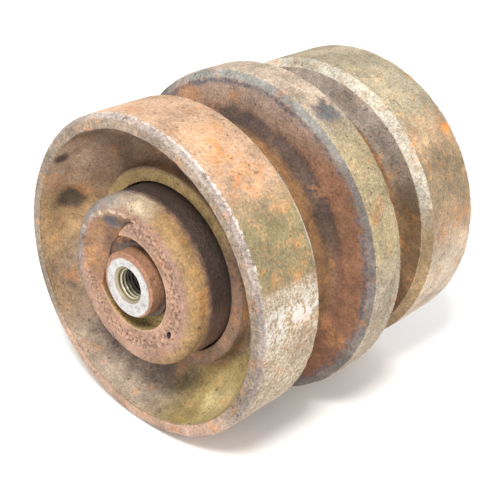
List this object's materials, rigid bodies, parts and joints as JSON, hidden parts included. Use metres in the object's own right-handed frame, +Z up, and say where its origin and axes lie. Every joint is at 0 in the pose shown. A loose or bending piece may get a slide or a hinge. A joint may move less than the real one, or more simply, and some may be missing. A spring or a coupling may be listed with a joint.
{
  "type": "track roller",
  "caption": "Sealed track roller: a turning shell with two cupped rims and a taller centre flange on a fixed shaft with domed end collars and threaded ends.",
  "frame": {"origin": "the middle of the roller: on the shaft's axis, in the centre flange's mid plane", "axes": "+Y along the shaft's axis towards the rear end, +Z up, +X to the right seen from the front end"},
  "size_m": [0.213, 0.217, 0.213],
  "materials": {
    "shell_iron": "rusted, with worn bright edges and treads",
    "collar_iron": "rusted casting",
    "shaft_steel": "machined, light rust outside",
    "bush_bronze": "bored, oiled",
    "seal_iron": "lapped faces, ground sides",
    "seal_rubber": "matt nitrile",
    "spring_steel": "phosphated, oily",
    "plug_steel": "zinc, dulled"
  },
  "bodies": {
    "shaft_assembly": {"shaft": "shaft_steel", "oil_plug": "plug_steel", "front_collar": "collar_iron", "front_fixed_seal_ring": "seal_iron", "front_fixed_toric": "seal_rubber", "front_collar_o_ring": "seal_rubber", "front_retaining_ring": "spring_steel", "front_collar_pin": "spring_steel", "rear_collar": "collar_iron", "rear_fixed_seal_ring": "seal_iron", "rear_fixed_toric": "seal_rubber", "rear_collar_o_ring": "seal_rubber", "rear_retaining_ring": "spring_steel", "rear_collar_pin": "spring_steel"},
    "roller_shell": {"front_shell_half": "shell_iron", "front_bush": "bush_bronze", "front_rotating_seal_ring": "seal_iron", "front_rotating_toric": "seal_rubber", "rear_shell_half": "shell_iron", "rear_bush": "bush_bronze", "rear_rotating_seal_ring": "seal_iron", "rear_rotating_toric": "seal_rubber"}
  },
  "joints": [
    {"name": "shell_spin", "type": "hinge", "parent": "shaft_assembly", "child": "roller_shell", "pos_m": [0, 0, 0], "axis": [0, 1, 0], "continuous": true}
  ]
}
